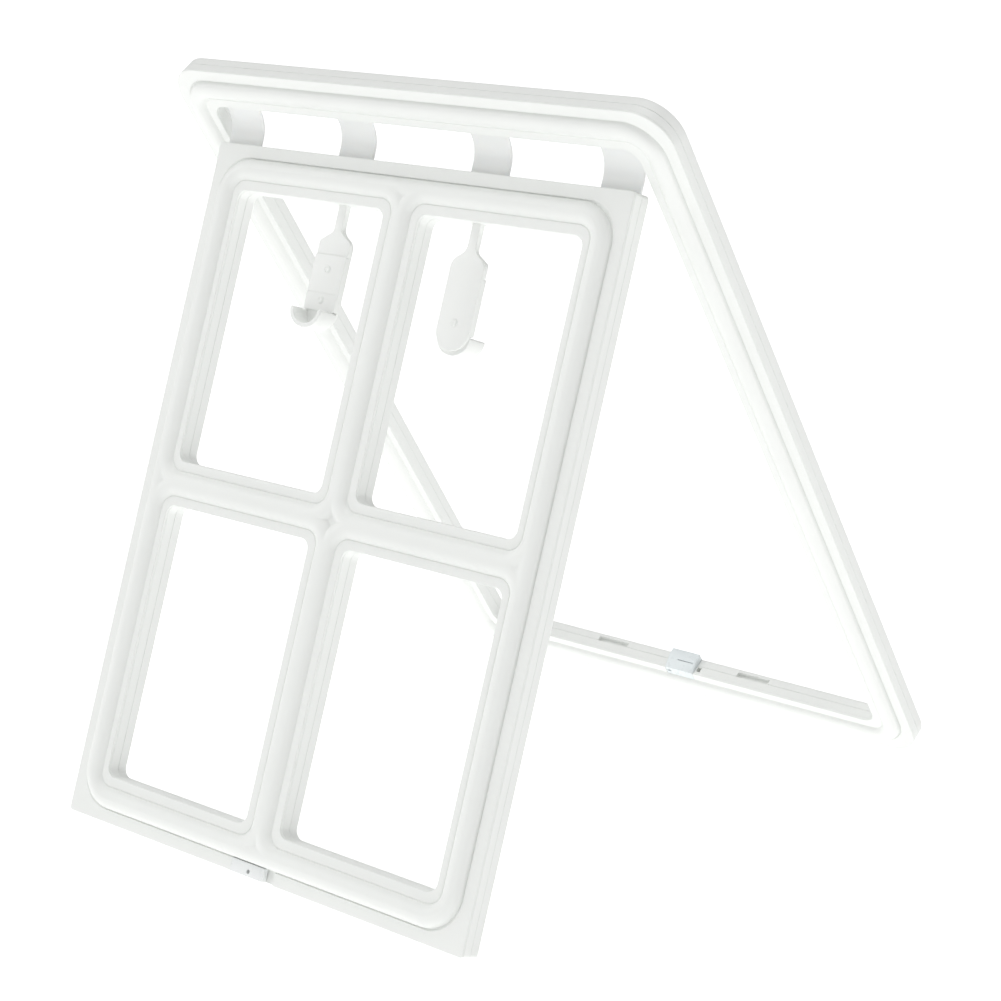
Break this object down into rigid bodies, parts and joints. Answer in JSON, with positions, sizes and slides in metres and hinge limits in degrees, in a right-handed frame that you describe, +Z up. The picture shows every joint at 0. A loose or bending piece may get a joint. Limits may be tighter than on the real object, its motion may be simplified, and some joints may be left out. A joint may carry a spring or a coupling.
{
  "type": "top-hung sash in a frame",
  "caption": "Top-hung white plastic sash with divided open lights and swivelling hooks, hinged by flexible straps in a rectangular frame with a magnetic sill latch.",
  "frame": {"origin": "centre of the footprint of the open A-frame, on the surface it stands on", "axes": "+Z up, +X to the right along the hinge line when the sash is looked at from its front, -Y out towards the foot of the sash, +Y towards the foot of the frame"},
  "size_m": [0.36, 0.4178, 0.4313],
  "materials": {
    "white_abs": "satin moulded white ABS",
    "strap_tpu": "smooth flexible white elastomer",
    "latch_abs": "glossy, slightly bluish white",
    "hook_abs": "satin white",
    "screw_steel": "plated pan heads",
    "magnet_nickel": "nickel plated",
    "retainer_abs": "plain, hidden inside the rails"
  },
  "bodies": {
    "frame": {"frame_front_shell": "white_abs", "frame_rear_shell": "white_abs", "frame_screw_1": "screw_steel", "frame_screw_2": "screw_steel", "frame_screw_3": "screw_steel", "frame_screw_4": "screw_steel", "frame_screw_5": "screw_steel", "frame_screw_6": "screw_steel", "frame_screw_7": "screw_steel", "frame_screw_8": "screw_steel", "frame_strap_retainer": "retainer_abs", "hinge_strap_1": "strap_tpu", "hinge_strap_2": "strap_tpu", "hinge_strap_3": "strap_tpu", "hinge_strap_4": "strap_tpu", "sill_latch_block": "latch_abs", "sill_latch_magnet": "magnet_nickel"},
    "sash": {"sash_front_shell": "white_abs", "sash_latch_keeper": "magnet_nickel", "sash_latch_tab": "latch_abs", "sash_rear_shell": "white_abs", "sash_screw_1": "screw_steel", "sash_screw_2": "screw_steel", "sash_screw_3": "screw_steel", "sash_screw_4": "screw_steel", "sash_screw_5": "screw_steel", "sash_screw_6": "screw_steel", "sash_screw_7": "screw_steel", "sash_strap_retainer": "retainer_abs"},
    "hook_left": {"hook_left_back_plate": "hook_abs", "hook_left_cup": "hook_abs", "hook_left_lower_cover": "hook_abs", "hook_left_rivet": "hook_abs", "hook_left_screw": "hook_abs", "hook_left_swivel": "hook_abs", "hook_left_upper_cover": "hook_abs"},
    "hook_right": {"hook_right_back_plate": "hook_abs", "hook_right_cup": "hook_abs", "hook_right_lower_cover": "hook_abs", "hook_right_rivet": "hook_abs", "hook_right_screw": "hook_abs", "hook_right_swivel": "hook_abs", "hook_right_upper_cover": "hook_abs"}
  },
  "joints": [
    {"name": "sash_hinge", "type": "hinge", "parent": "frame", "child": "sash", "pos_m": [0, -0.05955, 0.3939], "axis": [1, 0, 0], "range_deg": [-70, 108], "deforming": ["hinge_strap_1", "hinge_strap_2", "hinge_strap_3", "hinge_strap_4"]},
    {"name": "hook_left_swivel", "type": "hinge", "parent": "sash", "child": "hook_left", "pos_m": [-0.0495, -0.07374, 0.3549], "axis": [0, 0.342, 0.9397], "range_deg": [0, 180]},
    {"name": "hook_right_swivel", "type": "hinge", "parent": "sash", "child": "hook_right", "pos_m": [0.0495, -0.07374, 0.3549], "axis": [0, 0.342, 0.9397], "range_deg": [-180, 0]}
  ]
}
